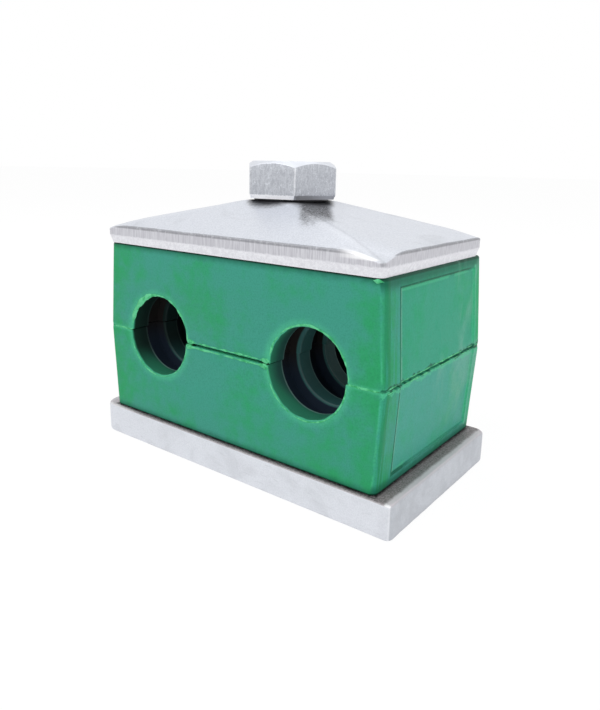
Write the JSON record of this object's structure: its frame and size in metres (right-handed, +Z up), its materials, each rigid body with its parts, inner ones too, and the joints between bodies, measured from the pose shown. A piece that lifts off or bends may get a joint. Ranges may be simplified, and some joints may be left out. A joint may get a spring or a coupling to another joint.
{
  "type": "twin hydraulic tube clamp",
  "caption": "Twin tube clamp: ribbed green clamp halves on a weld plate, pressed pyramid cover plate and a central hex bolt.",
  "frame": {"origin": "centre of the weld plate's underside, on the bolt's axis", "axes": "+X along the plate's length, +Y along the tubes, +Z up the bolt towards its head"},
  "size_m": [0.057, 0.031, 0.0465],
  "materials": {
    "zinc_plated_steel": "bright zinc plating, slightly grainy",
    "green_polypropylene": "moulded polypropylene with a soft sheen"
  },
  "bodies": {
    "base": {"weld_plate": "zinc_plated_steel", "weld_nut": "zinc_plated_steel", "lower_clamp_half": "green_polypropylene"},
    "top": {"upper_clamp_half": "green_polypropylene", "cover_plate": "zinc_plated_steel"},
    "bolt": {"hex_bolt": "zinc_plated_steel"}
  },
  "joints": [
    {"name": "clamp_lift", "type": "slide", "parent": "base", "child": "top", "axis": [0, 0, 1], "range_m": [0, 0.01]},
    {"name": "bolt_turn", "type": "hinge", "parent": "top", "child": "bolt", "pos_m": [0, 0, 0.0401], "axis": [0, 0, 1], "range_deg": [0, 2880]}
  ],
  "couplings": [
    {"joint": "bolt_turn", "follows": "clamp_lift", "rad_per_m": 5026.5}
  ]
}
